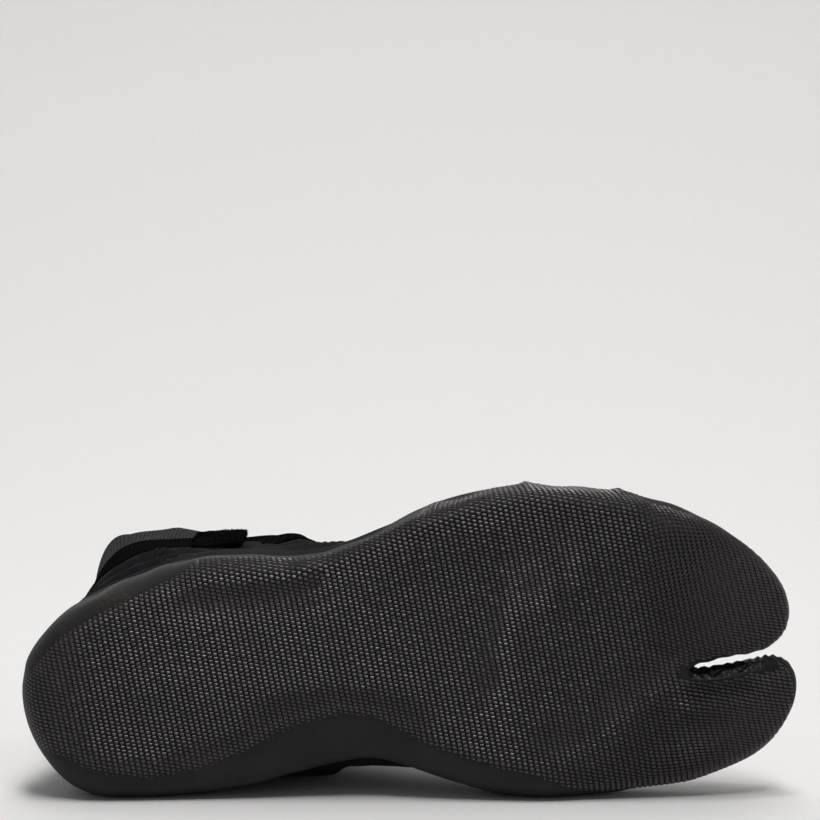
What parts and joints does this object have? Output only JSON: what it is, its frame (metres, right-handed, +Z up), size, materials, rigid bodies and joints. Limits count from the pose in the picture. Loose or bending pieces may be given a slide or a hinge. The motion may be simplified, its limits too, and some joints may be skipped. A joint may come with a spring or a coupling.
{
  "type": "split-toe wetsuit boot",
  "caption": "Hollow ankle-high neoprene boot with a separate big toe, a cupped textured rubber sole and a hook-and-loop ankle strap, lying on its side.",
  "frame": {"origin": "middle of the footprint, on the floor that the boot lies on", "axes": "+X from the heel to the toes, +Y from the tread to the collar, +Z up from the floor, from the big-toe side to the little-toe side"},
  "size_m": [0.2865, 0.13, 0.1151],
  "materials": {
    "sole_rubber": "black moulded rubber with a fine bumped tread",
    "neoprene": "matt black jersey over foamed rubber, grey at the cuff",
    "insole_jersey": "dark jersey over foamed rubber",
    "webbing": "black woven webbing",
    "hook_and_loop": "black looped pile"
  },
  "bodies": {
    "root": {"outsole": "sole_rubber", "upper": "neoprene", "insole": "insole_jersey", "ankle_strap": "webbing", "strap_tab": "hook_and_loop"}
  },
  "joints": []
}
